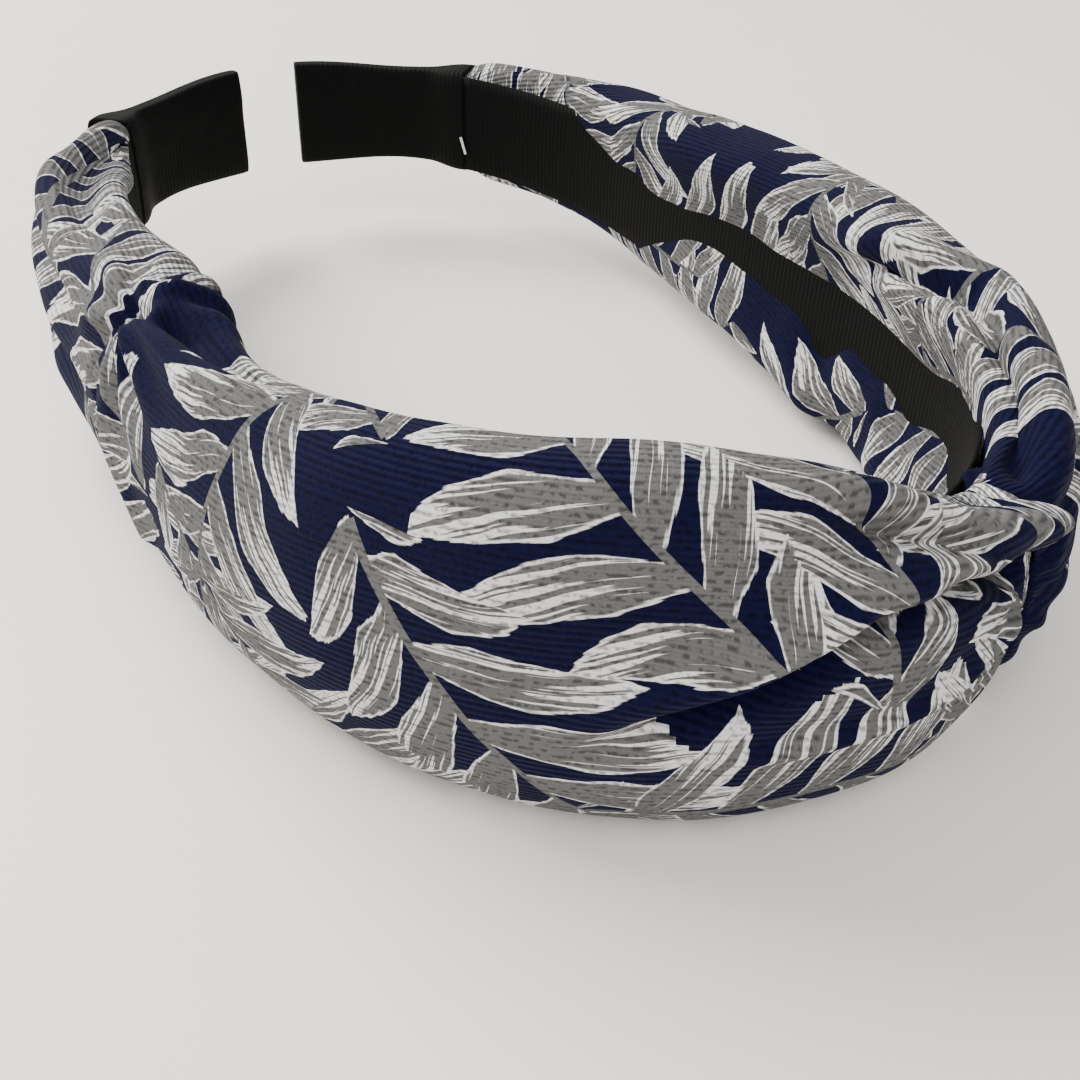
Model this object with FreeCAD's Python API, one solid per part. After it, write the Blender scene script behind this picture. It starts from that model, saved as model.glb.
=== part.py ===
import FreeCAD, Part
import math
import os

Vector = FreeCAD.Vector

# Knotted fabric headband lying on its side: +Z is the width of the band, the crown faces -Y and
# the two tips point to +Y. Distances called s run along the middle line of the band from the
# middle of the crown, + to the right arm and - to the left arm. Offsets called u run outward from
# the middle of the plastic core, so the wearer's head is on the negative side.

# Middle line of each half, from the crown to the tip: radius and length of each arc.
BEND_ARCS = [(42.5, 52.0), (105.0, 30.0), (500.0, 50.0), (68.0, 22.0), (52.5, 50.0)]
HALF_LENGTH = sum(length for radius, length in BEND_ARCS)

TIP_HEIGHT = 21.0            # height of the middle of the tips above the table
CORE_THICKNESS = 1.8
CORE_HALF_HEIGHTS = [(0.0, 8.0), (120.0, 8.0), (HALF_LENGTH, 5.5)]
CLEARANCE = 0.3

FABRIC_WALL = 0.8            # fabric with the air trapped against it, as one solid wall
SKIN_INNER = CORE_THICKNESS / 2 + CLEARANCE
SKIN_OUTER = SKIN_INNER + FABRIC_WALL

# The knot lies a little to the right of the crown's middle.
KNOT_START = 0.3
KNOT_WAIST = 22.0
KNOT_END = 44.0

WRAP_LENGTH = 30.0           # ribbon folded over each tip
WRAP_START = HALF_LENGTH - WRAP_LENGTH
WRAP_HALF_HEIGHT = 8.6
WRAP_THICKNESS = 0.7
WRAP_GLUE = 0.3
FILM_GAP = 0.04              # keeps a film of glue just off the faces that it joins

LINING_THICKNESS = 0.6
LINING_HALF_HEIGHTS = [(0.0, 9.5), (120.0, 9.0), (HALF_LENGTH, 8.0)]
LINING_FACE = SKIN_OUTER + 0.9
LINING_END = WRAP_START - 0.4
GLUE_LINE_HEIGHT = 1.6
GLUE_LINE_OFFSET = 5.0

STRIP_STEP = 4.0             # length of one flat facet of a strip
SECTION_SPACING = 15.0       # longest distance between two sections of a sleeve

STITCH_LENGTH = 2.4
STITCH_PITCH = 6.0
STITCH_THICKNESS = 0.35
STITCH_GAP = 0.2

# Outline of each fabric piece along its length: distance from the crown's middle, half of the
# width, outward bulge, and height of the middle above the table.
LEFT_SLEEVE = [
    (-0.3, 18.5, 10.0, 18.5),
    (-22.0, 20.5, 11.0, 20.5),
    (-62.0, 20.0, 11.0, 20.0),
    (-104.0, 18.5, 10.5, 18.5),
    (-134.0, 15.0, 9.0, 17.5),
    (-156.0, 12.0, 6.5, 19.5),
    (-173.5, 9.8, 3.5, TIP_HEIGHT),
]
RIGHT_SLEEVE = [
    (KNOT_END + 0.3, 17.0, 9.0, 17.0),
    (60.0, 18.0, 9.0, 18.0),
    (94.0, 17.5, 9.0, 17.5),
    (124.0, 15.5, 8.5, 17.0),
    (152.0, 12.0, 6.5, 19.0),
    (173.5, 9.8, 3.5, TIP_HEIGHT),
]
LEFT_FOLD = [
    (KNOT_START, 18.5, 10.0, 18.5),
    (9.0, 16.5, 9.0, 18.5),
    (16.0, 13.2, 6.5, 18.5),
    (26.0, 12.8, 5.5, 18.5),
]
RIGHT_LOOP = [
    (17.5, 15.0, 9.5, 19.0),
    (22.0, 18.0, 11.0, 19.0),
    (27.0, 18.0, 11.0, 18.5),
    (34.0, 17.0, 9.5, 17.5),
    (KNOT_END - 0.3, 17.0, 9.0, 17.0),
]


def middle_line(s):
    """Point, tangent and outward direction of the band's middle line at distance s."""
    side = 1.0 if s >= 0.0 else -1.0
    x, y, heading, left = 0.0, 0.0, 0.0, abs(s)
    for radius, length in BEND_ARCS:
        step = min(left, length)
        turned = heading + step / radius
        x += radius * (math.sin(turned) - math.sin(heading))
        y += radius * (math.cos(heading) - math.cos(turned))
        heading = turned
        left -= step
    x += left * math.cos(heading)
    y += left * math.sin(heading)
    point = Vector(side * x, y, 0.0)
    tangent = Vector(math.cos(heading), side * math.sin(heading), 0.0)
    outward = Vector(side * math.sin(heading), -math.cos(heading), 0.0)
    return point, tangent, outward


def place(s, u, z):
    """Point at distance s along the band, u outward of its middle line and z above the table."""
    point, tangent, outward = middle_line(s)
    return point + outward * u + Vector(0.0, 0.0, z)


def along(value_list, s):
    """Value at s on straight lines between the listed (s, value) pairs."""
    pairs = sorted(value_list)
    if s <= pairs[0][0]:
        return pairs[0][1]
    for (s0, v0), (s1, v1) in zip(pairs, pairs[1:]):
        if s <= s1:
            return v0 + (v1 - v0) * (s - s0) / (s1 - s0)
    return pairs[-1][1]


def middle_height(s):
    """Height above the table of the core's middle, level with the fabric around it."""
    heights = [(row[0], row[3]) for row in LEFT_SLEEVE + RIGHT_SLEEVE]
    heights.append((KNOT_WAIST, 18.5))
    return along(heights, s)


def stations(start, end, spacing):
    """Evenly spaced distances from start to end, no further apart than spacing."""
    count = max(1, math.ceil(abs(end - start) / spacing))
    return [start + (end - start) * i / count for i in range(count + 1)]


def strip(start, end, inner, outer, low, high):
    """Flat strip that follows the band; low and high give its edges' heights at each s."""
    first, last = min(start, end), max(start, end)
    grid = [STRIP_STEP * i for i in range(math.ceil(first / STRIP_STEP), int(last // STRIP_STEP) + 1)]
    inside = [s for s in grid if first + 0.5 < s < last - 0.5]
    wires = []
    for s in [first] + inside + [last]:
        corners = [(inner, low(s)), (outer, low(s)), (outer, high(s)), (inner, high(s))]
        points = [place(s, u, z) for u, z in corners]
        wires.append(Part.makePolygon(points + points[:1]))
    return Part.makeLoft(wires, True, True)


def sleeve_section(s, half_height, bulge, height, inset):
    """Closed outline of a puffed sleeve: flat toward the head, full on the outside."""
    half = half_height - inset
    back = -SKIN_OUTER + inset
    front = bulge - inset
    outline = [
        (back, 0.72 * half),
        (0.6 * back, 0.92 * half),
        (0.2 * front, half),
        (0.75 * front, 0.66 * half),
        (front, 0.0),
        (0.85 * front, -0.66 * half),
        (0.2 * front, -half),
        (0.6 * back, -0.92 * half),
        (back, -0.72 * half),
    ]
    points = [place(s, u, height + z) for u, z in outline]
    curve = Part.BSplineCurve()
    curve.interpolate(Points=points)
    return Part.Wire([curve.toShape(), Part.makeLine(points[-1], points[0])])


def filled(rows):
    """The same rows with more between them, so that a loft keeps to the band's bends."""
    out = []
    for first, second in zip(rows, rows[1:]):
        count = max(1, math.ceil(abs(second[0] - first[0]) / SECTION_SPACING))
        out += [tuple(a + (b - a) * i / count for a, b in zip(first, second)) for i in range(count)]
    return out + [rows[-1]]


def sleeve_body(rows, inset=0.0):
    """Solid through the sections listed in rows, each made smaller by inset."""
    return Part.makeLoft([sleeve_section(*row, inset) for row in filled(rows)], True, False)


def overrun(rows, distance):
    """The same rows with the first and last moved outward, so that a cavity opens at both ends."""
    way = 1.0 if rows[-1][0] > rows[0][0] else -1.0
    first = (rows[0][0] - way * distance,) + rows[0][1:]
    last = (rows[-1][0] + way * distance,) + rows[-1][1:]
    return [first] + rows[1:-1] + [last]


def fabric_tube(rows):
    """Hollow tube of fabric, open at both ends."""
    return sleeve_body(rows).cut(sleeve_body(overrun(rows, 1.0), FABRIC_WALL))


def core_half(s):
    return along(CORE_HALF_HEIGHTS, abs(s))


def core_band():
    """Springy plastic strip, wide at the crown and narrow at the tips."""
    return strip(
        -HALF_LENGTH, HALF_LENGTH, -CORE_THICKNESS / 2, CORE_THICKNESS / 2,
        lambda s: middle_height(s) - core_half(s), lambda s: middle_height(s) + core_half(s))


def right_knot_loop():
    """Fabric of the right arm, looped over the gathered end of the left arm's fabric."""
    left_fold_room = [(s, half + CLEARANCE, bulge + CLEARANCE, height)
                      for s, half, bulge, height in overrun(LEFT_FOLD, 1.0)]
    return fabric_tube(RIGHT_LOOP).cut(sleeve_body(left_fold_room))


def lining_ribbon():
    """Ribbon on the inner face, from one tip wrap to the other."""
    return strip(
        -LINING_END, LINING_END, -LINING_FACE - LINING_THICKNESS, -LINING_FACE,
        lambda s: middle_height(s) - along(LINING_HALF_HEIGHTS, abs(s)),
        lambda s: middle_height(s) + along(LINING_HALF_HEIGHTS, abs(s)))


def lining_glue():
    """Two lines of glue between the sleeves' inner faces and the lining."""
    lines = []
    for offset in (-GLUE_LINE_OFFSET, GLUE_LINE_OFFSET):
        lines.append(strip(
            -LINING_END, LINING_END, -LINING_FACE + FILM_GAP, -LINING_FACE + CLEARANCE,
            lambda s: middle_height(s) + offset - GLUE_LINE_HEIGHT / 2,
            lambda s: middle_height(s) + offset + GLUE_LINE_HEIGHT / 2))
    return Part.makeCompound(lines)


def tip_wrap(side):
    """Ribbon folded over a tip: two faces, two edges and a closed end."""
    depth = CORE_THICKNESS / 2 + WRAP_GLUE
    start, end = side * WRAP_START, side * (HALF_LENGTH + WRAP_GLUE + WRAP_THICKNESS)
    outer = strip(
        start, end, -depth - WRAP_THICKNESS, depth + WRAP_THICKNESS,
        lambda s: middle_height(s) - WRAP_HALF_HEIGHT, lambda s: middle_height(s) + WRAP_HALF_HEIGHT)
    room = WRAP_HALF_HEIGHT - WRAP_THICKNESS
    cavity = strip(
        start - side, side * (HALF_LENGTH + WRAP_GLUE), -depth, depth,
        lambda s: middle_height(s) - room, lambda s: middle_height(s) + room)
    return outer.cut(cavity)


def tip_glue(side):
    """Film of glue on both faces of the core under a tip wrap."""
    films = []
    for face in (-1.0, 1.0):
        near = face * (CORE_THICKNESS / 2 + FILM_GAP)
        far = face * (CORE_THICKNESS / 2 + WRAP_GLUE - FILM_GAP)
        films.append(strip(
            side * (WRAP_START + 1.0), side * (HALF_LENGTH - 1.0), min(near, far), max(near, far),
            lambda s: middle_height(s) - core_half(s) + 0.5,
            lambda s: middle_height(s) + core_half(s) - 0.5))
    return Part.makeCompound(films)


def stitch(s, z, length, upright=False):
    """One thread stitch lying on the sleeve's inner face."""
    point, tangent, outward = middle_line(s)
    long_way = Vector(0.0, 0.0, 1.0) if upright else tangent
    across = tangent if upright else Vector(0.0, 0.0, 1.0)
    a = point - outward * (SKIN_OUTER + STITCH_GAP) + Vector(0.0, 0.0, z)
    a = a - long_way * (length / 2) - across * (STITCH_THICKNESS / 2)
    corners = [a, a + long_way * length, a + long_way * length + across * STITCH_THICKNESS,
               a + across * STITCH_THICKNESS, a]
    return Part.Face(Part.makePolygon(corners)).extrude(outward * -STITCH_THICKNESS)


def seam_stitches(first, last):
    """Row of stitches that closes a sleeve along the middle of its inner face."""
    return Part.makeCompound([stitch(s, middle_height(s), STITCH_LENGTH)
                              for s in stations(first, last, STITCH_PITCH)])


def knot_tack_stitches():
    """Upright hand stitches that hold the knot to the back of the band."""
    return Part.makeCompound([stitch(s, middle_height(s) + dz, 3.0, upright=True)
                              for s in (KNOT_WAIST - 2.0, KNOT_WAIST + 2.0) for dz in (-2.6, 2.6)])


def thread_tail():
    """Short loose end of the pale sewing thread beside the right tip wrap."""
    start = place(WRAP_START - 2.0, -LINING_FACE - LINING_THICKNESS - 0.5, TIP_HEIGHT - 5.5)
    end = place(WRAP_START - 1.0, -LINING_FACE - LINING_THICKNESS - 0.5, TIP_HEIGHT - 2.5)
    return Part.makeCylinder(0.22, (end - start).Length, start, end - start)


def build_pieces():
    return {
        "core_band": core_band(),
        "left_sleeve": fabric_tube(LEFT_SLEEVE),
        "right_sleeve": fabric_tube(RIGHT_SLEEVE),
        "left_knot_fold": fabric_tube(LEFT_FOLD),
        "right_knot_loop": right_knot_loop(),
        "lining_ribbon": lining_ribbon(),
        "lining_glue": lining_glue(),
        "left_tip_wrap": tip_wrap(-1.0),
        "right_tip_wrap": tip_wrap(1.0),
        "left_tip_glue": tip_glue(-1.0),
        "right_tip_glue": tip_glue(1.0),
        "left_seam_stitches": seam_stitches(-5.0, -168.0),
        "right_seam_stitches": seam_stitches(KNOT_END + 5.0, 168.0),
        "knot_tack_stitches": knot_tack_stitches(),
        "thread_tail": thread_tail(),
    }


def base_centre(pieces):
    """Middle of the underside of the box around all the pieces."""
    box = FreeCAD.BoundBox()
    for shape in pieces.values():
        box.add(shape.optimalBoundingBox(False))
    return Vector(box.Center.x, box.Center.y, box.ZMin)


os.makedirs("parts", exist_ok=True)
pieces = build_pieces()
origin = base_centre(pieces)
for name, shape in pieces.items():
    shape.translate(origin * -1.0)
    shape.exportStep(f"parts/{name}.step")
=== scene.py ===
import math

import bmesh
import bpy
import numpy as np
from mathutils import Matrix, Vector


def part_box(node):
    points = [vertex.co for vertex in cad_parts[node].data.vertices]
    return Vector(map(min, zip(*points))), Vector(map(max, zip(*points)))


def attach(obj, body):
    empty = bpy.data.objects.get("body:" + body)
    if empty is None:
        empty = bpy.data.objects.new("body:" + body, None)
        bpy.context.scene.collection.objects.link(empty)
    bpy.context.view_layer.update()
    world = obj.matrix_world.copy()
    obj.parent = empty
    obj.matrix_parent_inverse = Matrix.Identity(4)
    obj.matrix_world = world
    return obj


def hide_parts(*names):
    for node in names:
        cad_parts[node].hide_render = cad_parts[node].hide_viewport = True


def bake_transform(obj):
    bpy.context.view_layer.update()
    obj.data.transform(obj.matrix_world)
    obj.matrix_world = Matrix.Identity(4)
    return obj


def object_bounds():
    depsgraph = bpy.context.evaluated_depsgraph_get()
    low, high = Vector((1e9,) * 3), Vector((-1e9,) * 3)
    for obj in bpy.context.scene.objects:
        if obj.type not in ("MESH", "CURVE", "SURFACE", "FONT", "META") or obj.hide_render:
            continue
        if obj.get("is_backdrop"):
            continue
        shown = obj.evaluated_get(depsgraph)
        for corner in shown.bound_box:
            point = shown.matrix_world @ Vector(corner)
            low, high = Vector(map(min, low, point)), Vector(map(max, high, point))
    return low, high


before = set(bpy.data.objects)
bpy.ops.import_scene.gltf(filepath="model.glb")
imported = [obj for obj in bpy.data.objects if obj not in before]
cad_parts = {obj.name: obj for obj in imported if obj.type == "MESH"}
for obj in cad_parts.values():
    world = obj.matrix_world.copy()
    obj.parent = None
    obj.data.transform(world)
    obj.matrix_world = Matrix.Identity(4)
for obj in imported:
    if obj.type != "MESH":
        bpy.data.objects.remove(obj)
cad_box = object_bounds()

# Everything below is worked out in millimetres along the band and turned into metres by place().
# s runs along the middle line from the crown's middle, + to the right arm; u is outward of the
# core; z is the height above the table.
BEND_ARCS = [(42.5, 52.0), (105.0, 30.0), (500.0, 50.0), (68.0, 22.0), (52.5, 50.0)]
HALF_LENGTH = sum(length for radius, length in BEND_ARCS)
CORE_THICKNESS = 1.8
WRAP_START = HALF_LENGTH - 30.0
WRAP_DEPTH = 1.75
WRAP_HALF_HEIGHT = 8.6
RIBBON_THICKNESS = 0.6
LINING_FACE = -2.9
GLUE_FACE = -2.62
GLUE_THICKNESS = 0.24
GLUE_HALF_WIDTH = 0.8
GLUE_OFFSET = 5.0
CLOTH_THICKNESS = 0.35
CLOTH_COLUMNS = 221
KNOT_MIDDLE = 22.0
LOOP_LIP = 19.5
TIP_HEIGHT = 21.0

# Camera: where it stands from the crown's middle in mm, and which way it looks.
CAMERA_PLACE = (-79.5, -65.1, 97.4)
CAMERA_AZIMUTH = 31.9
CAMERA_DOWN = 36.0
CAMERA_ROLL = 1.9
CAMERA_LENS = 42.6


# ---------------------------------------------------------------- middle line of the band

def middle_line_table():
    """Distances every half millimetre, with the point and outward direction at each."""
    step = 0.5
    distances = np.arange(0.0, HALF_LENGTH + 6.0, step)
    curvature = np.zeros_like(distances)
    start = 0.0
    for radius, length in BEND_ARCS:
        curvature[(distances >= start) & (distances < start + length)] = 1.0 / radius
        start += length
    heading = np.concatenate([[0.0], np.cumsum(curvature[:-1] * step)])
    x = np.concatenate([[0.0], np.cumsum(np.cos(heading[:-1] + curvature[:-1] * step / 2) * step)])
    y = np.concatenate([[0.0], np.cumsum(np.sin(heading[:-1] + curvature[:-1] * step / 2) * step)])
    half = np.stack([x, y, np.sin(heading), -np.cos(heading)], 1)
    mirrored = half[:0:-1] * np.array([-1.0, 1.0, -1.0, 1.0])
    return np.concatenate([-distances[:0:-1], distances]), np.concatenate([mirrored, half])


LINE_S, LINE_ROWS = middle_line_table()
core_low, core_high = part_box("core_band")
LINE_ORIGIN = np.array([
    (core_low.x + core_high.x) / 2,
    core_low.y + CORE_THICKNESS / 2 / 1000,
    0.0,
])


def place(s, u, z):
    """Points in the row frame, in metres, for arrays of s, u and z in millimetres."""
    s, u, z = np.broadcast_arrays(np.asarray(s, float), u, z)
    x, y, out_x, out_y = [np.interp(s, LINE_S, LINE_ROWS[:, i]) for i in range(4)]
    points = np.stack([x + u * out_x, y + u * out_y, z], -1)
    return points / 1000 + LINE_ORIGIN


def profile(pairs, window=14.0):
    """Smooth function of s through the listed (s, value) pairs."""
    pairs = sorted(pairs)
    raw = np.interp(LINE_S, [p[0] for p in pairs], [p[1] for p in pairs])
    count = int(window / 0.5) | 1
    kernel = np.hanning(count + 2)[1:-1]
    padded = np.pad(raw, count // 2, mode="edge")
    smooth = np.convolve(padded, kernel / kernel.sum(), mode="valid")
    return lambda s: np.interp(s, LINE_S, smooth)


def spaced(start, end, step=2.0):
    """Distances from start to end that are at most a step apart."""
    return np.linspace(start, end, int(abs(end - start) / step) + 2)


def ease(low, high, x):
    """0 below low, 1 above high, smooth between; low may be above high."""
    t = np.clip((x - low) / (high - low), 0.0, 1.0)
    return t * t * (3 - 2 * t)


def hill(x, middle, width):
    """1 at the middle, falling to 0 on both sides over a few widths."""
    return np.exp(-((x - middle) / width) ** 2)


def value_noise(a, b, seed):
    """Smooth noise from -1 to 1 over the plane of a and b, one cell per unit."""
    grid = np.random.default_rng(seed).uniform(-1.0, 1.0, (64, 64))
    ia, ib = np.floor(a).astype(int), np.floor(b).astype(int)
    fa, fb = a - ia, b - ib
    fa, fb = fa * fa * (3 - 2 * fa), fb * fb * (3 - 2 * fb)
    corner = lambda i, j: grid[(ia + i) % 64, (ib + j) % 64]
    low = corner(0, 0) * (1 - fa) + corner(1, 0) * fa
    high = corner(0, 1) * (1 - fa) + corner(1, 1) * fa
    return low * (1 - fb) + high * fb


# ---------------------------------------------------------------- materials

class Shader:
    """Small helper that adds and joins shader nodes in one material or group."""

    def __init__(self, tree):
        self.tree = tree

    def add(self, kind, **settings):
        node = self.tree.nodes.new(kind)
        for name, value in settings.items():
            setattr(node, name, value)
        return node

    def feed(self, socket, value):
        if isinstance(value, bpy.types.NodeSocket):
            self.tree.links.new(value, socket)
        else:
            socket.default_value = value

    def calc(self, operation, *values, clamp=False):
        node = self.add("ShaderNodeMath", operation=operation, use_clamp=clamp)
        for socket, value in zip(node.inputs, values):
            self.feed(socket, value)
        return node.outputs[0]

    def step(self, value, low, high):
        node = self.add("ShaderNodeMapRange", interpolation_type="SMOOTHSTEP")
        for socket, given in zip(node.inputs, (value, low, high)):
            self.feed(socket, given)
        return node.outputs["Result"]

    def mix(self, factor, first, second):
        node = self.add("ShaderNodeMix", data_type="RGBA")
        self.feed(node.inputs["Factor"], factor)
        self.feed(node.inputs["A"], first)
        self.feed(node.inputs["B"], second)
        return node.outputs["Result"]

    def vector(self, x, y, z=0.0):
        node = self.add("ShaderNodeCombineXYZ")
        for socket, value in zip(node.inputs, (x, y, z)):
            self.feed(socket, value)
        return node.outputs[0]

    def split(self, vector):
        node = self.add("ShaderNodeSeparateXYZ")
        self.feed(node.inputs[0], vector)
        return node.outputs

    def attribute(self, name):
        return self.add("ShaderNodeAttribute", attribute_name=name).outputs["Vector"]

    def noise(self, vector, scale, detail=2.0):
        node = self.add("ShaderNodeTexNoise")
        self.feed(node.inputs["Vector"], vector)
        node.inputs["Scale"].default_value = scale
        node.inputs["Detail"].default_value = detail
        return node.outputs["Fac"]

    def bump(self, height, distance, normal=None):
        node = self.add("ShaderNodeBump")
        node.inputs["Distance"].default_value = distance
        self.feed(node.inputs["Height"], height)
        if normal is not None:
            self.feed(node.inputs["Normal"], normal)
        return node.outputs["Normal"]


def new_material(name):
    material = bpy.data.materials.new(name)
    material.use_nodes = True
    material.node_tree.nodes.clear()
    shader = Shader(material.node_tree)
    surface = shader.add("ShaderNodeBsdfPrincipled")
    output = shader.add("ShaderNodeOutputMaterial")
    shader.tree.links.new(surface.outputs[0], output.inputs["Surface"])
    return material, shader, surface


NAVY = (0.0026, 0.003, 0.023, 1.0)
FROND_WHITE = (0.7, 0.7, 0.705, 1.0)
FROND_GREY = (0.118, 0.117, 0.116, 1.0)
RIB_PITCH = 0.72
RIBBON_RIB_PITCH = 0.9

# Leaves of a frond, in units of the frond's length or of the space between two leaves.
LEAVES_PER_SIDE = 5.0
LEAF_ANGLE = math.radians(48.0)
LEAF_REACH = 0.68
LEAF_HALF_WIDTH = 0.53
LEAF_CURVE = 0.75
LEAF_WOBBLE = 0.07


def frond_group():
    """One frond of unit length: its leaves, their grey brush streaks and its stem.

    Place holds the distance along the stem, the distance to its left, and the frond's number.
    """
    tree = bpy.data.node_groups.new("frond", "ShaderNodeTree")
    tree.interface.new_socket("Place", in_out="INPUT", socket_type="NodeSocketVector")
    tree.interface.new_socket("Leaf", in_out="OUTPUT", socket_type="NodeSocketFloat")
    tree.interface.new_socket("Grey", in_out="OUTPUT", socket_type="NodeSocketFloat")
    g = Shader(tree)
    x, y, number = g.split(g.add("NodeGroupInput").outputs[0])
    ident = g.calc("MULTIPLY", g.calc("ROUND", number), 1.5)

    # Where the leaf that reaches this place leaves the stem, and which leaf that is.
    away = g.calc("ABSOLUTE", y)
    side = g.calc("GREATER_THAN", y, 0.0)
    wobble = g.noise(g.vector(x, y, ident), 3.5, 2.0)
    wobble = g.calc("MULTIPLY", g.calc("SUBTRACT", wobble, 0.5), LEAF_WOBBLE)
    rooted = g.calc("SUBTRACT", x, g.calc("MULTIPLY", away, 1.0 / math.tan(LEAF_ANGLE)))
    rooted = g.calc("ADD", rooted, g.calc("MULTIPLY", g.calc("MULTIPLY", away, away), LEAF_CURVE))
    rooted = g.calc("ADD", rooted, wobble)
    counted = g.calc("MULTIPLY_ADD", rooted, LEAVES_PER_SIDE, g.calc("MULTIPLY", side, 0.5))
    index = g.calc("ROUND", counted)
    across = g.calc("SUBTRACT", counted, index)

    # How long that leaf is, how far along it the place is, and how wide it is there.
    pick = g.add("ShaderNodeTexWhiteNoise", noise_dimensions="3D")
    g.feed(pick.inputs["Vector"], g.vector(index, side, ident))
    chance = pick.outputs["Value"]
    swell = g.calc("SINE", g.calc("MULTIPLY_ADD", rooted, 2.2, 0.6))
    reach = g.calc("MULTIPLY_ADD", chance, 0.3 * LEAF_REACH, 0.76 * LEAF_REACH)
    reach = g.calc("MAXIMUM", g.calc("MULTIPLY", swell, reach), 0.02)
    along = g.calc("DIVIDE", g.calc("DIVIDE", away, math.sin(LEAF_ANGLE)), reach)
    taper = g.calc("SUBTRACT", 1.0, g.calc("POWER", along, 2.3), clamp=True)
    base = g.calc("MULTIPLY_ADD", along, 1.5, 0.5, clamp=True)
    half_width = g.calc("MULTIPLY", g.calc("MULTIPLY", taper, base), LEAF_HALF_WIDTH)
    ragged = g.noise(g.vector(g.calc("MULTIPLY", across, 6.0), along, index), 3.0, 2.0)
    half_width = g.calc("SUBTRACT", half_width, g.calc("MULTIPLY", ragged, 0.09))
    inside = g.calc("SUBTRACT", half_width, g.calc("ABSOLUTE", across))
    leaf = g.calc("MULTIPLY", g.step(inside, 0.012, 0.03), g.calc("GREATER_THAN", reach, 0.12))
    leaf = g.calc("MULTIPLY", leaf, g.calc("GREATER_THAN", rooted, -0.06))
    leaf = g.calc("MULTIPLY", leaf, g.calc("LESS_THAN", rooted, 0.98))

    # Grey at the leaf's root that breaks into streaks towards its tip.
    streak_place = g.vector(g.calc("MULTIPLY_ADD", across, 12.0, g.calc("MULTIPLY", index, 3.7)),
                            g.calc("MULTIPLY", along, 0.9), ident)
    streaks = g.noise(streak_place, 1.5, 2.0)
    fade = g.calc("SUBTRACT", streaks, g.calc("MULTIPLY_ADD", along, 0.31, 0.3))
    grey = g.calc("MULTIPLY", g.step(fade, -0.01, 0.02), g.step(inside, 0.04, 0.07))

    # The stem, thinner towards its end.
    stem = g.calc("LESS_THAN", away, g.calc("MULTIPLY_ADD", x, -0.007, 0.012))
    stem = g.calc("MULTIPLY", stem, g.calc("GREATER_THAN", x, -0.03))
    stem = g.calc("MULTIPLY", stem, g.calc("LESS_THAN", x, 0.95))
    out = g.add("NodeGroupOutput")
    g.feed(out.inputs["Leaf"], g.calc("MAXIMUM", leaf, stem))
    g.feed(out.inputs["Grey"], g.calc("MAXIMUM", grey, stem))
    return tree


def printed_crepe():
    """Navy crepe with pale fronds: ribs along the arm, painted shade in the small gaps between them, a
    soft sheen.
    """
    material, g, surface = new_material("printed_crepe")
    group = frond_group()
    colour = NAVY
    for name in ("frond_under", "frond_over"):
        frond = g.add("ShaderNodeGroup", node_tree=group)
        g.feed(frond.inputs["Place"], g.attribute(name))
        leaf_colour = g.mix(frond.outputs["Grey"], FROND_WHITE, FROND_GREY)
        colour = g.mix(frond.outputs["Leaf"], colour, leaf_colour)
    s, t, _ = g.split(g.attribute("fabric"))
    rib_wander = g.noise(g.vector(g.calc("MULTIPLY", s, 0.05), g.calc("MULTIPLY", t, 0.4)), 1.0)
    rib_phase = g.calc("MULTIPLY_ADD", t, 2 * math.pi / RIB_PITCH, g.calc("MULTIPLY", rib_wander, 3.0))
    rib = g.calc("MULTIPLY_ADD", g.calc("SINE", rib_phase), 0.5, 0.5)
    gap = g.noise(g.vector(g.calc("MULTIPLY", s, 1.5), g.calc("MULTIPLY", t, 1.39)), 1.0, 1.0)
    knots = g.noise(g.vector(g.calc("MULTIPLY", s, 3.2), g.calc("MULTIPLY", t, 2.8), 4.0), 1.0, 2.0)
    # Painted shade: the gaps between the ribs are darkened in the colour; the knots add a random tone.
    gap_shade = g.calc("MULTIPLY", g.calc("SUBTRACT", 1.0, rib), g.step(gap, 0.44, 0.62))
    tone_and_gap_shade = g.calc("MULTIPLY_ADD", gap_shade, -0.6, g.calc("MULTIPLY_ADD", knots, 0.3, 0.88))
    dim = g.add("ShaderNodeVectorMath", operation="SCALE")
    g.feed(dim.inputs[0], colour)
    g.feed(dim.inputs["Scale"], tone_and_gap_shade)
    g.feed(surface.inputs["Base Color"], dim.outputs[0])
    height = g.calc("ADD", g.calc("MULTIPLY", rib, 0.7), g.calc("MULTIPLY", knots, 0.6))
    g.feed(surface.inputs["Normal"], g.bump(height, 0.00022))
    g.feed(surface.inputs["Roughness"], g.calc("MULTIPLY_ADD", knots, 0.15, 0.8))
    surface.inputs["Specular IOR Level"].default_value = 0.08
    surface.inputs["Sheen Weight"].default_value = 0.015
    return material


def black_ribbon():
    """Black ribbon with close cross ribs and a faint satin shine."""
    material, g, surface = new_material("black_ribbon")
    s, t, _ = g.split(g.attribute("fabric"))
    rib_phase = g.calc("MULTIPLY", s, 2 * math.pi / RIBBON_RIB_PITCH)
    rib = g.calc("MULTIPLY_ADD", g.calc("SINE", rib_phase), 0.5, 0.5)
    fuzz = g.noise(g.vector(g.calc("MULTIPLY", s, 1.3), t), 2.0, 4.0)
    black, faded = (0.001, 0.0011, 0.0011, 1), (0.0035, 0.0037, 0.0036, 1)
    g.feed(surface.inputs["Base Color"], g.mix(fuzz, black, faded))
    g.feed(surface.inputs["Roughness"], g.calc("MULTIPLY_ADD", fuzz, 0.2, 0.62))
    height = g.calc("ADD", g.calc("MULTIPLY", rib, 0.5), g.calc("MULTIPLY", fuzz, 0.5))
    g.feed(surface.inputs["Normal"], g.bump(height, 0.00012))
    surface.inputs["Specular IOR Level"].default_value = 0.08
    return material


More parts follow.
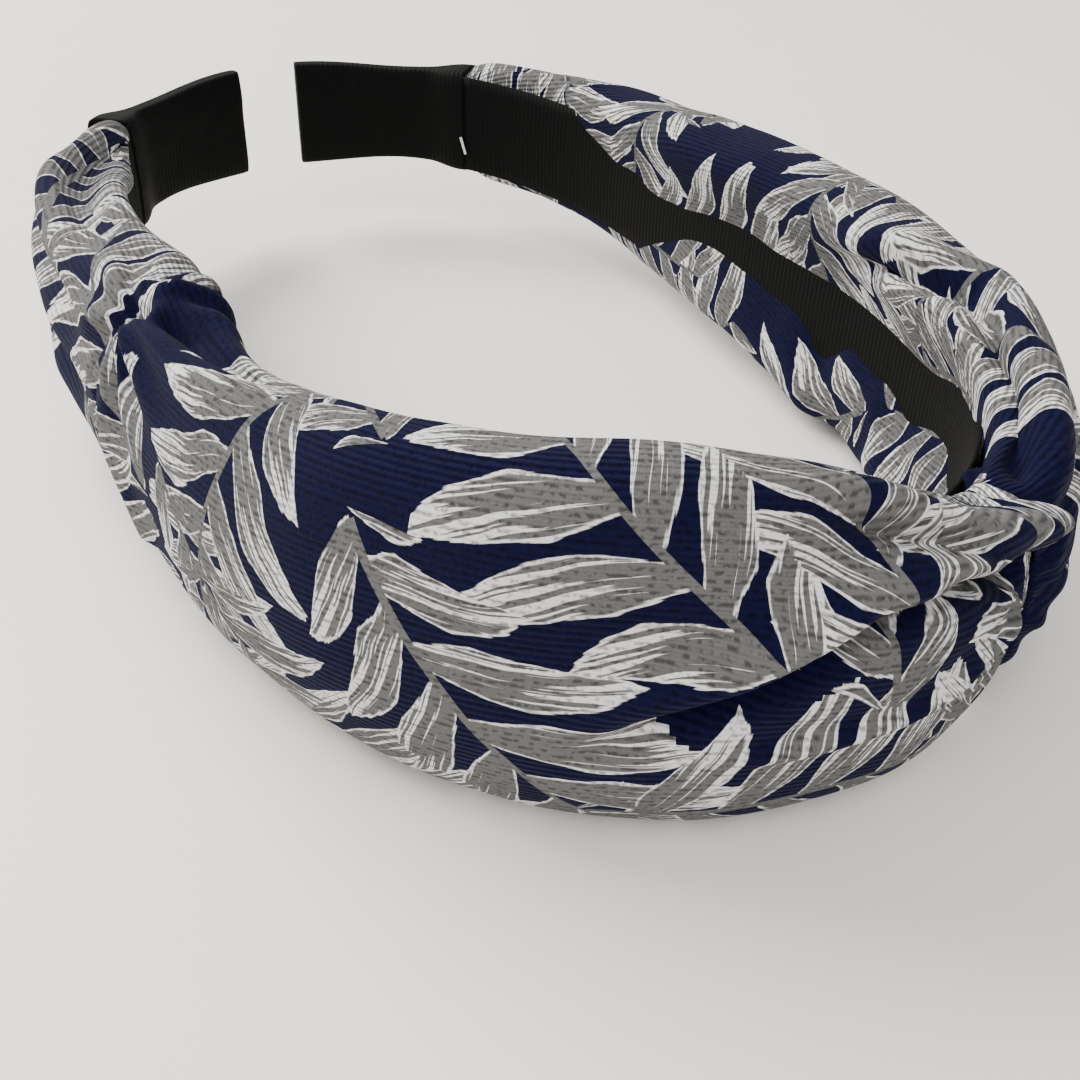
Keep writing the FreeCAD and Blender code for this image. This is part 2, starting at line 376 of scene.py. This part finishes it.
def moulded_plastic():
    """Dark moulded strip with a fine pebble and light scuffs."""
    material, g, surface = new_material("core_plastic")
    where = g.add("ShaderNodeTexCoord").outputs["Object"]
    pebble = g.noise(where, 900.0, 3.0)
    scuff = g.noise(where, 60.0, 5.0)
    g.feed(surface.inputs["Base Color"], g.mix(scuff, (0.03, 0.03, 0.032, 1), (0.07, 0.07, 0.073, 1)))
    g.feed(surface.inputs["Roughness"], g.calc("MULTIPLY_ADD", scuff, 0.3, 0.3))
    g.feed(surface.inputs["Normal"], g.bump(pebble, 0.00005))
    return material


def sewing_thread():
    """Pale twisted thread."""
    material, g, surface = new_material("thread")
    where = g.add("ShaderNodeTexCoord").outputs["Object"]
    twist = g.noise(where, 2500.0, 2.0)
    g.feed(surface.inputs["Base Color"], g.mix(twist, (0.6, 0.6, 0.62, 1), (0.8, 0.8, 0.82, 1)))
    g.feed(surface.inputs["Normal"], g.bump(twist, 0.00008))
    surface.inputs["Roughness"].default_value = 0.75
    return material


def dried_glue():
    """Cloudy dried glue with small bubbles."""
    material, g, surface = new_material("glue")
    where = g.add("ShaderNodeTexCoord").outputs["Object"]
    cloud = g.noise(where, 400.0, 3.0)
    g.feed(surface.inputs["Base Color"], g.mix(cloud, (0.62, 0.58, 0.48, 1), (0.8, 0.78, 0.7, 1)))
    g.feed(surface.inputs["Normal"], g.bump(cloud, 0.0001))
    surface.inputs["Roughness"].default_value = 0.35
    return material


CREPE = printed_crepe()
RIBBON = black_ribbon()
PLASTIC = moulded_plastic()
THREAD = sewing_thread()
GLUE = dried_glue()


# ---------------------------------------------------------------- meshes

def grid_object(name, points, fabric, material, close_across=False):
    """Quad sheet through points[row, column]; fabric holds each point's (s, t) in millimetres."""
    rows, columns = points.shape[:2]
    number = np.arange(rows * columns).reshape(rows, columns)
    if close_across:
        number = np.concatenate([number, number[:, :1]], 1)
    quads = np.stack([number[:-1, :-1], number[1:, :-1], number[1:, 1:], number[:-1, 1:]], -1)
    mesh = bpy.data.meshes.new(name)
    mesh.from_pydata(points.reshape(-1, 3).tolist(), [], quads.reshape(-1, 4).tolist())
    flat = np.zeros((rows * columns, 3), np.float32)
    flat[:, :2] = fabric.reshape(-1, 2)
    mesh.attributes.new("fabric", "FLOAT_VECTOR", "POINT").data.foreach_set("vector", flat.ravel())
    mesh.polygons.foreach_set("use_smooth", [True] * len(mesh.polygons))
    mesh.materials.append(material)
    thing = bpy.data.objects.new(name, mesh)
    bpy.context.scene.collection.objects.link(thing)
    return thing


def surface_normals(points):
    """Unit normals of a grid of points, on the side that the grid's order turns to."""
    across = np.cross(np.gradient(points, axis=0), np.gradient(points, axis=1))
    return across / np.maximum(np.linalg.norm(across, axis=-1, keepdims=True), 1e-12)


def thicken(thing, thickness):
    """Gives a sheet its real thickness, inward from the modelled face."""
    modifier = thing.modifiers.new("thickness", "SOLIDIFY")
    modifier.thickness = thickness / 1000
    modifier.offset = -1.0
    modifier.use_even_offset = False


# Fronds of the print where the cloth is most seen: (s, t) of the stem's root on the cloth in mm,
# heading in degrees from the direction of +s towards +t, length in mm, and the stem's bend in mm.
LEFT_FRONDS = [
    (-53.0, 27.0, -112.0, 38.0, 3.0),
    (2.0, 4.0, 141.0, 46.0, -5.0),
    (-39.0, 12.0, -58.0, 44.0, 6.0),
    (14.0, -1.0, 100.0, 42.0, 6.0),
    (37.0, -1.0, 117.0, 36.0, 3.0),
    (-14.0, -17.0, 6.0, 44.0, 4.0),
    (-78.0, 2.0, 150.0, 44.0, -3.0),
    (-66.0, -14.0, -20.0, 42.0, 3.0),
    (-112.0, 12.0, 168.0, 48.0, 3.0),
    (-28.0, 32.0, 60.0, 40.0, 3.0),
    (-70.0, 6.0, -48.0, 34.0, -3.0),
    (-40.0, 22.0, 150.0, 34.0, 3.0),
]
RIGHT_FRONDS = [
    (80.0, 16.0, 96.0, 38.0, 3.0),
    (118.0, 12.0, 70.0, 36.0, -3.0),
    (152.0, 8.0, 110.0, 36.0, 3.0),
    (46.0, 12.0, 80.0, 36.0, 3.0),
    (16.0, -2.0, 60.0, 38.0, -3.0),
    (28.0, 30.0, 20.0, 40.0, 3.0),
    (60.0, -34.0, 30.0, 38.0, 3.0),
]
FROND_SPACING = 27.0


def scattered_fronds(first, s_low, s_high, seed):
    """The listed fronds, and more of them on a loose grid over the rest of the cloth."""
    pick = np.random.default_rng(seed)
    taken = [frond_middle(frond) for frond in first]
    fronds = list(first)
    for row, t in enumerate(np.arange(-46.0, 47.0, 0.8 * FROND_SPACING)):
        for s in np.arange(s_low, s_high, FROND_SPACING):
            heading = pick.uniform(0.0, 360.0)
            root = (s + 0.5 * FROND_SPACING * (row % 2), t + pick.uniform(-3.0, 3.0))
            turn = math.radians(heading)
            middle = (root[0] + 20.0 * math.cos(turn), root[1] + 20.0 * math.sin(turn))
            if all(math.dist(middle, other) > 0.8 * FROND_SPACING for other in taken):
                fronds.append((*root, heading, pick.uniform(36.0, 44.0), pick.uniform(-4.0, 4.0)))
    return fronds


def frond_middle(frond):
    """The (s, t) of the middle of a frond's stem."""
    s, t, heading, length, bend = frond
    turn = math.radians(heading)
    return s + 0.5 * length * math.cos(turn), t + 0.5 * length * math.sin(turn)


def frond_places(fabric, frond):
    """Places on the cloth in one frond's own frame: unit length along its stem, then across."""
    s, t, heading, length, bend = frond
    turn = math.radians(heading)
    ds, dt = fabric[..., 0] - s, fabric[..., 1] - t
    x = (ds * math.cos(turn) + dt * math.sin(turn)) / length
    y = (-ds * math.sin(turn) + dt * math.cos(turn)) / length
    return x, y - bend / length * x * x


def print_fronds(thing, fronds):
    """Writes, for each face's corners, their places in the two fronds that lie nearest."""
    mesh = thing.data
    fabric = np.zeros(len(mesh.vertices) * 3, np.float32)
    mesh.attributes["fabric"].data.foreach_get("vector", fabric)
    fabric = fabric.reshape(-1, 3)[:, :2]
    corners = np.array([loop.vertex_index for loop in mesh.loops])
    faces = corners.reshape(-1, 4)
    middles = fabric[faces].mean(1)
    scores = []
    for frond in fronds:
        x, y = frond_places(middles, frond)
        scores.append(np.hypot(y, x - np.clip(x, 0.2, 0.85)) * frond[3])
    order = np.argsort(np.array(scores), 0)
    for rank, name in ((1, "frond_under"), (0, "frond_over")):
        places = np.zeros((len(corners), 3), np.float32)
        for number, frond in enumerate(fronds):
            chosen = np.repeat(order[rank] == number, 4)
            x, y = frond_places(fabric[corners[chosen]], frond)
            places[chosen] = np.stack([x, y, np.full_like(x, number)], 1)
        mesh.attributes.new(name, "FLOAT_VECTOR", "CORNER").data.foreach_set("vector", places.ravel())


def strip_object(name, start, end, u_face, thickness, half, material, rise=0.0, crown=0.0):
    """Closed ribbon or strip along the band; half is half its width, crown its bulge inward."""
    count = 10
    across = np.linspace(-1.0, 1.0, count)
    s = spaced(start, end)[:, None]
    v = np.concatenate([across, across[::-1]])[None, :]
    w = np.repeat([0.0, 1.0], count)[None, :]
    edge_round = 1 - 0.35 * (abs(v) > 0.999)
    u = u_face - thickness * (0.5 + (w - 0.5) * edge_round) - crown * (1 - v * v)
    z = CORE_MIDDLE(s) + rise + v * half(s)
    points = place(s, u, z)
    fabric = np.stack([np.broadcast_to(s, z.shape), np.broadcast_to(z, z.shape)], -1)
    thing = grid_object(name, points, fabric, material, close_across=True)
    cap_ends(thing, len(s), 2 * count)
    return thing


def cap_ends(thing, rows, columns, first=True):
    """Closes the ends of a tube-like grid with one face each."""
    form = bmesh.new()
    form.from_mesh(thing.data)
    form.verts.ensure_lookup_table()
    if first:
        form.faces.new([form.verts[i] for i in range(columns)])
    form.faces.new([form.verts[(rows - 1) * columns + i] for i in reversed(range(columns))])
    bmesh.ops.recalc_face_normals(form, faces=form.faces)
    form.to_mesh(thing.data)
    form.free()


# ---------------------------------------------------------------- shape of the fabric

# Along each arm: half the cloth's height, how far it bulges outward, and its middle height.
LEFT_HALF = profile([(-180, 7.6), (-173, 8.3), (-168, 10.0), (-156, 11.5), (-134, 14.5),
                     (-104, 17.0), (-80, 17.3), (-62, 18.3), (-44, 19.9), (-24, 20.7), (-10, 19.0),
                     (2, 16.0), (10, 13.2), (18, 11.2), (26, 10.5)])
LEFT_BULGE = profile([(-180, 2.4), (-173, 2.7), (-168, 3.6), (-156, 3.8), (-134, 5.5), (-104, 9.0),
                      (-62, 10.5), (-24, 9.8), (-2, 9.5), (8, 8.5), (18, 6.0), (26, 5.0)])
LEFT_MIDDLE = profile([(-180, 21.0), (-173, 21.0), (-156, 19.5), (-134, 18.5), (-104, 18.5),
                       (-80, 18.0), (-62, 18.7), (-44, 20.7), (-24, 21.5), (-10, 19.8),
                       (2, 17.0), (10, 15.8), (18, 15.5), (26, 15.5)])
RIGHT_HALF = profile([(14, 12.3), (20, 13.2), (28, 14.8), (36, 16.0), (46, 16.5), (60, 16.8),
                      (78, 17.5), (100, 15.5), (124, 14.5), (152, 11.5), (168, 10.0),
                      (173, 8.3), (180, 7.6)])
RIGHT_BULGE = profile([(14, 7.4), (22, 8.2), (34, 7.8), (46, 7.2), (60, 7.0), (94, 7.5),
                       (124, 7.0), (152, 5.0), (168, 3.6), (173, 2.7), (180, 2.4)])
RIGHT_MIDDLE = profile([(14, 15.3), (20, 15.4), (28, 16.0), (36, 16.7), (46, 17.3), (60, 17.5),
                        (78, 18.0), (100, 20.0), (124, 19.0), (152, 20.0), (173, 21.0),
                        (180, 21.0)])
CORE_MIDDLE = profile([(-204, 21.0), (-173, 21.0), (-156, 19.5), (-134, 18.0), (-104, 18.5),
                       (-62, 19.5), (-22, 20.0), (0, 17.0), (22, 16.0), (44, 16.6), (60, 17.8),
                       (94, 18.0), (124, 18.0), (152, 19.5), (173, 21.0), (204, 21.0)])

# How far outward of the core's middle the cloth's inner face and its top and bottom edges stand.
INNER_FACE = -2.6
EDGE_PLACE = 1.6


def section(turn, half, bulge, inner):
    """Outline of a puffed sleeve at each turn: 0 is outermost, a quarter turn is the top edge."""
    cosine, sine = np.cos(turn), np.sin(turn)
    outer_u = EDGE_PLACE + (bulge - EDGE_PLACE) * np.abs(cosine) ** 0.85
    inner_u = EDGE_PLACE + (inner - EDGE_PLACE) * np.abs(cosine) ** 0.38
    u = np.where(cosine > 0, outer_u, inner_u)
    z = half * np.sign(sine) * np.abs(sine) ** 0.92
    return u, z


def cloth_lengths(points):
    """Distance across the cloth from the outermost column, in millimetres, + above it."""
    steps = np.linalg.norm(np.diff(points, axis=1), axis=2) * 1000
    run = np.concatenate([np.zeros((points.shape[0], 1)), np.cumsum(steps, 1)], 1)
    return run - run[:, points.shape[1] // 2][:, None]


def crease(s, t, path, width, depth, lip):
    """Fold line through places on the cloth: a groove, with a swollen lip to the path's left."""
    path = np.array(path, float)
    pieces = len(path) - 1
    nearest = np.full(np.broadcast(s, t).shape, 1e9)
    side = np.zeros_like(nearest)
    progress = np.zeros_like(nearest)
    for number in range(pieces):
        step = path[number + 1] - path[number]
        length = np.hypot(*step)
        ds, dt = s - path[number][0], t - path[number][1]
        run = np.clip((ds * step[0] + dt * step[1]) / length ** 2, 0.0, 1.0)
        away = np.hypot(ds - run * step[0], dt - run * step[1])
        signed = np.sign(step[0] * dt - step[1] * ds) * away
        closer = away < nearest
        nearest = np.where(closer, away, nearest)
        side = np.where(closer, signed, side)
        progress = np.where(closer, (number + run) / pieces, progress)
    reach = ease(0.0, 0.25, progress) * ease(1.0, 0.93, progress)
    return reach * (lip * hill(side, 2.0 * width, 1.6 * width) - depth * hill(side, 0.0, width))


def radiating(s, t, centre, count, distance):
    """Ribs that run out from one place, strongest at the given distance from it."""
    ds, dt = s - centre[0], t - centre[1]
    return np.sin(np.arctan2(dt, ds) * count) * hill(np.hypot(ds, dt), distance, 0.6 * distance)


def left_relief(s, t, turn):
    """Puffs, creases and gathers of the left arm's cloth, in millimetres outward."""
    relief = 0.6 * value_noise(s / 26.0, t / 13.0, 3) + 0.25 * value_noise(s / 9.0, t / 6.0, 4)

    # The big fold that runs into the knot, and the smaller ones beside it.
    relief += crease(s, t, [(-32, -9), (-17, 1), (-8, 8), (-1, 9.4), (7, 8.4), (15, 6)], 1.6, 5.2, 3.4)
    relief += crease(s, t, [(-17, 21), (-1, 14.8), (6, 11.4), (14, 8)], 1.2, 2.2, 2.0)
    relief += crease(s, t, [(-5, 12.5), (14, 7.2)], 0.8, 1.3, 0.7)
    relief -= crease(s, t, [(-20, -8), (-4, -4), (14, 2)], 0.9, 1.0, 0.4)

    # The pinch at the arm's far end, with the ridge that leads to it and its wrinkles.
    relief += crease(s, t, [(-62, 24), (-76, 21.5), (-84, 20.5), (-92, 18)], 1.8, 2.8, 1.4)
    relief += crease(s, t, [(-92, 17), (-97, 8), (-94, -2), (-86, -12)], 1.3, 1.8, 1.2)
    relief += 2.6 * hill(np.hypot(s + 89.0, t - 20.5), 0.0, 3.0)
    relief -= 3.4 * hill(np.hypot(s + 92.5, t - 17.0), 0.0, 2.4)
    relief += 0.7 * radiating(s, t, (-91.0, 17.0), 11.0, 9.0)

    # Gathers at the knot, and pleats towards the tip wrap.
    relief += 0.4 * radiating(s, t, (15.0, 5.0), 18.0, 9.0)
    pleats = np.sin(t * 2 * math.pi / 9.5 - 1.2 + 0.5 * np.sin(s / 11.0))
    relief += 1.5 * pleats * ease(-98.0, -125.0, s) * (np.cos(turn) > -0.75)
    return relief * ease(-175.0, -168.0, s)


def right_relief(s, t, turn):
    """Puffs and creases of the right arm's cloth, in millimetres outward."""
    relief = 0.6 * value_noise(s / 24.0 + 9.0, t / 12.0, 5) + 0.25 * value_noise(s / 9.0, t / 6.0, 6)

    # The rolled rim of the loop, and softer creases on the arm.
    rim = [(84, 36), (68, 31), (58, 26), (52, 22.5), (38, 24), (27, 20), (17, 14)]
    relief += crease(s, t, rim, 1.7, 3.0, 1.8)
    relief += crease(s, t, [(50, 14), (30, 10), (16, 6)], 1.2, 1.4, 0.8)
    relief += crease(s, t, [(46, 0), (30, 0), (16, 0)], 1.1, 1.3, 0.7)
    relief += crease(s, t, [(110, -9), (80, -4), (48, -12)], 1.8, 1.5, 1.0)

    # Crumples low on the inner side, gathers at the knot, and pleats towards the tip wrap.
    low_puffs = 1.3 * value_noise(s / 8.0, t / 6.0, 8) * ease(-18.0, -26.0, t)
    relief += low_puffs * ease(95.0, 80.0, s) * ease(28.0, 42.0, s)
    relief += 0.35 * radiating(s, t, (12.0, 2.0), 16.0, 10.0)
    pleats = np.sin(t * 2 * math.pi / 7.0)
    relief += 0.8 * pleats * ease(135.0, 158.0, s) * (np.cos(turn) > -0.2)
    return relief * ease(175.0, 168.0, s)


def fabric_object(name, s_path, half, bulge, middle, relief, inner, shrink, fronds):
    """One arm's cloth, from its tip wrap into the knot; shrink turns its end in at the knot."""
    turn = np.linspace(-math.pi, math.pi, CLOTH_COLUMNS)[None, :]
    s = np.asarray(s_path, float)[:, None]
    scale = np.asarray(shrink, float)[:, None]
    u, z = section(turn, half(s) * scale, bulge(s) * scale, inner(s, turn))
    points = place(s, u, middle(s) + z)
    t = cloth_lengths(points)
    outermost = CLOTH_COLUMNS // 2
    steps = np.linalg.norm(np.diff(points[:, outermost], axis=0), axis=1) * 1000
    run = np.concatenate([[0.0], np.cumsum(steps)])
    along = s[0, 0] + np.sign(s_path[-1] - s_path[0]) * run[:, None]
    normals = surface_normals(points)
    away_from_core = place(s[:, 0], 20.0, 0.0) - place(s[:, 0], 0.0, 0.0)
    outward = np.sign((normals[:, outermost] * away_from_core).sum(-1).mean())
    points = points + outward * normals * relief(s, t, turn)[..., None] / 1000
    points[..., 2] = np.maximum(points[..., 2], 0.0002)
    fabric = np.stack([np.broadcast_to(along, t.shape), t], -1)
    if outward < 0:
        points, fabric = points[:, ::-1], fabric[:, ::-1]
    thing = grid_object(name, points, fabric, CREPE)
    print_fronds(thing, fronds)
    thicken(thing, CLOTH_THICKNESS)
    return thing


def left_inner(s, turn):
    """Towards the left tip the upper part of the cloth puffs inward over the lining's edge."""
    puff = ease(-72.0, -100.0, s) * ease(-178.0, -160.0, s) * hill(turn, 2.1, 0.75)
    return INNER_FACE - 6.0 * puff


def right_inner(s, turn):
    """The right arm's cloth puffs inward over both edges of the lining."""
    upper = ease(20.0, 60.0, s) * ease(160.0, 110.0, s) * hill(turn, 2.2, 0.6)
    lower = ease(20.0, 50.0, s) * ease(150.0, 95.0, s) * hill(turn, -2.2, 0.6)
    return INNER_FACE - 6.5 * upper - 5.5 * lower


def left_fabric():
    """The left arm's cloth, whose gathered end runs into the right one's loop."""
    s_path = np.linspace(-WRAP_START - 3.0, 26.0, 420)
    fronds = scattered_fronds(LEFT_FRONDS, -185.0, 60.0, 2)
    return fabric_object("left_fabric", s_path, LEFT_HALF, LEFT_BULGE, LEFT_MIDDLE, left_relief,
                         left_inner, np.ones_like(s_path), fronds)


def right_fabric():
    """The right arm's cloth ends in a loop over the knot whose edge turns in."""
    lip_radius = 2.6
    arm = np.linspace(WRAP_START + 3.0, LOOP_LIP, 320)
    bend = np.linspace(0.0, math.pi, 40)[1:]
    lip_s = LOOP_LIP - 1.2 * lip_radius * np.sin(bend)
    lip_scale = 1.0 - 0.2 * (1 - np.cos(bend)) / 2
    s_path = np.concatenate([arm, lip_s])
    shrink = np.concatenate([np.ones_like(arm), lip_scale])
    fronds = scattered_fronds(RIGHT_FRONDS, -10.0, 185.0, 5)
    return fabric_object("right_fabric", s_path, RIGHT_HALF, RIGHT_BULGE, RIGHT_MIDDLE,
                         right_relief, right_inner, shrink, fronds)


# ---------------------------------------------------------------- strips, wraps and thread

def core_half_height(s):
    return np.interp(abs(s), [0.0, 120.0, HALF_LENGTH], [8.0, 8.0, 5.5])


def lining_half_height(s):
    return np.interp(abs(s), [0.0, 120.0, HALF_LENGTH], [9.5, 9.0, 8.0])


def core_part(name, start, end):
    """The springy plastic strip inside the cloth."""
    thing = strip_object(name, start, end, CORE_THICKNESS / 2, CORE_THICKNESS,
                         core_half_height, PLASTIC)
    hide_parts("core_band")
    return thing


def lining_part(name, start, end):
    """The black ribbon on the band's inner face."""
    thing = strip_object(name, start, end, LINING_FACE, RIBBON_THICKNESS,
                         lining_half_height, RIBBON, crown=0.25)
    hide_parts("lining_ribbon")
    return thing


def glue_part(name, start, end, rise):
    """One line of glue under the lining, above or below the middle of the core."""
    thing = strip_object(name, start, end, GLUE_FACE, GLUE_THICKNESS,
                         lambda s: GLUE_HALF_WIDTH, GLUE, rise=rise)
    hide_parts("lining_glue")
    return thing


def tip_wrap(name, node, side):
    """Ribbon folded over a tip: soft corners, a slight flare, and swollen where it laps the cloth."""
    end = HALF_LENGTH + 0.95
    rows = np.concatenate([spaced(WRAP_START - 1.5, end - 0.4, 0.8), [end - 0.15, end]])
    columns = 72
    turn = np.linspace(0, 2 * math.pi, columns, endpoint=False)[None, :]
    s = rows[:, None]
    flare = 1.0 + 0.05 * ease(190.0, 204.0, s) - 0.05 * hill(s, 186.0, 7.0)
    depth = WRAP_DEPTH + 2.1 * ease(WRAP_START + 8.0, WRAP_START, s) - 0.5 * ease(end - 0.6, end, s)
    depth = depth + 0.15 * value_noise(s / 5.0, turn * 3.0, 11)
    half_height = WRAP_HALF_HEIGHT + 0.5 * ease(WRAP_START + 6.0, WRAP_START, s)
    box = (np.abs(np.cos(turn)) ** 6 + np.abs(np.sin(turn)) ** 6) ** (-1 / 6)
    u = depth * np.cos(turn) * box
    z = half_height * flare * np.sin(turn) * box
    points = place(side * s, u, TIP_HEIGHT + z)
    fabric = np.stack([np.broadcast_to(s, z.shape), z], -1)
    thing = grid_object(name, points, fabric, RIBBON, close_across=True)
    cap_ends(thing, len(rows), columns, first=False)
    thicken(thing, RIBBON_THICKNESS)
    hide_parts(node)
    return thing


def finish_cad_nodes():
    """Gives the CAD nodes that stay their own materials."""
    finishes = {
        "left_tip_glue": GLUE, "right_tip_glue": GLUE, "left_seam_stitches": THREAD,
        "right_seam_stitches": THREAD, "knot_tack_stitches": THREAD, "thread_tail": THREAD,
    }
    for node, material in finishes.items():
        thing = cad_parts[node]
        thing.data.materials.clear()
        thing.data.materials.append(material)


def along_band(s):
    """A point of the band, in metres, on its middle line 18 mm above the table."""
    return tuple(float(v) for v in place(s, 0.0, 18.0))


def inner_pieces(side, sign):
    """The strip, the lining and the two glue lines of one arm, from the knot to its tip."""
    wrap = sign * (WRAP_START - 1.0)
    return [
        core_part(f"core_{side}", KNOT_MIDDLE, sign * HALF_LENGTH),
        lining_part(f"lining_{side}", KNOT_MIDDLE, wrap),
        glue_part(f"glue_line_{side}_low", KNOT_MIDDLE, wrap, -GLUE_OFFSET),
        glue_part(f"glue_line_{side}_high", KNOT_MIDDLE, wrap, GLUE_OFFSET),
    ]


def build_headband():
    """All visible pieces, built along the band's middle line."""
    left_bend = (along_band(6.0), along_band(-26.0))
    right_bend = (along_band(32.0), along_band(62.0))
    left_pieces = inner_pieces("left", -1.0)
    right_pieces = inner_pieces("right", 1.0)
    left_cloth = left_fabric()
    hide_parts("left_sleeve", "left_knot_fold")
    right_cloth = right_fabric()
    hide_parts("right_sleeve", "right_knot_loop")
    for thing in left_pieces + [left_cloth]:
        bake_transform(thing)
    for thing in right_pieces + [right_cloth]:
        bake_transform(thing)
    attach(tip_wrap("left_wrap_ribbon", "left_tip_wrap", -1.0), "left_arm")
    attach(tip_wrap("right_wrap_ribbon", "right_tip_wrap", 1.0), "right_arm")
    finish_cad_nodes()


# ---------------------------------------------------------------- stage, light and camera

def build_stage():
    bpy.ops.mesh.primitive_plane_add(size=6.0, location=(0.0, 0.0, -0.0001))
    floor = bpy.context.object
    floor.name = "floor"
    material, g, surface = new_material("floor")
    where = g.add("ShaderNodeTexCoord").outputs["Object"]
    cloud = g.noise(where, 12.0, 3.0)
    g.feed(surface.inputs["Base Color"], g.mix(cloud, (0.93, 0.91, 0.87, 1), (0.96, 0.94, 0.9, 1)))
    surface.inputs["Roughness"].default_value = 0.45
    floor.data.materials.append(material)
    floor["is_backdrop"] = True


def area_light(name, place_m, target, size, watts, colour):
    data = bpy.data.lights.new(name, "AREA")
    data.shape = "RECTANGLE"
    data.size, data.size_y = size
    data.energy = watts
    data.color = colour
    lamp = bpy.data.objects.new(name, data)
    lamp.location = place_m
    lamp.rotation_euler = (Vector(target) - Vector(place_m)).to_track_quat("-Z", "Y").to_euler()
    bpy.context.scene.collection.objects.link(lamp)


def build_lights():
    area_light("window", (-0.35, 0.75, 0.75), (0, 0, 0), (0.9, 0.6), 23.0, (1.0, 0.97, 0.93))
    area_light("room", (-0.5, -0.6, 0.9), (0, 0, 0), (1.2, 1.2), 12.0, (1.0, 0.97, 0.94))
    world = bpy.data.worlds.new("room")
    world.use_nodes = True
    world.node_tree.nodes["Background"].inputs[0].default_value = (1.0, 0.98, 0.96, 1.0)
    world.node_tree.nodes["Background"].inputs[1].default_value = 0.74
    bpy.context.scene.world = world


def build_camera():
    data = bpy.data.cameras.new("camera")
    data.lens = CAMERA_LENS
    data.sensor_width = 36.0
    data.clip_start = 0.005
    camera = bpy.data.objects.new("camera", data)
    azimuth, down, roll = [math.radians(v) for v in (CAMERA_AZIMUTH, CAMERA_DOWN, CAMERA_ROLL)]
    look = Vector((math.sin(azimuth) * math.cos(down), math.cos(azimuth) * math.cos(down),
                   -math.sin(down)))
    level = Vector((math.cos(azimuth), -math.sin(azimuth), 0.0))
    upright = level.cross(look)
    right = level * math.cos(roll) + upright * math.sin(roll)
    up = upright * math.cos(roll) - level * math.sin(roll)
    turn = Matrix((right, up, -look)).transposed().to_4x4()
    stand = Vector(CAMERA_PLACE) / 1000 + Vector(LINE_ORIGIN)
    camera.matrix_world = Matrix.Translation(stand) @ turn
    bpy.context.scene.collection.objects.link(camera)
    bpy.context.scene.camera = camera


build_camera()
build_stage()
build_lights()
build_headband()

visual_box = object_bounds()
({"cad": [list(corner) for corner in cad_box],
           "visual": [list(corner) for corner in visual_box]})
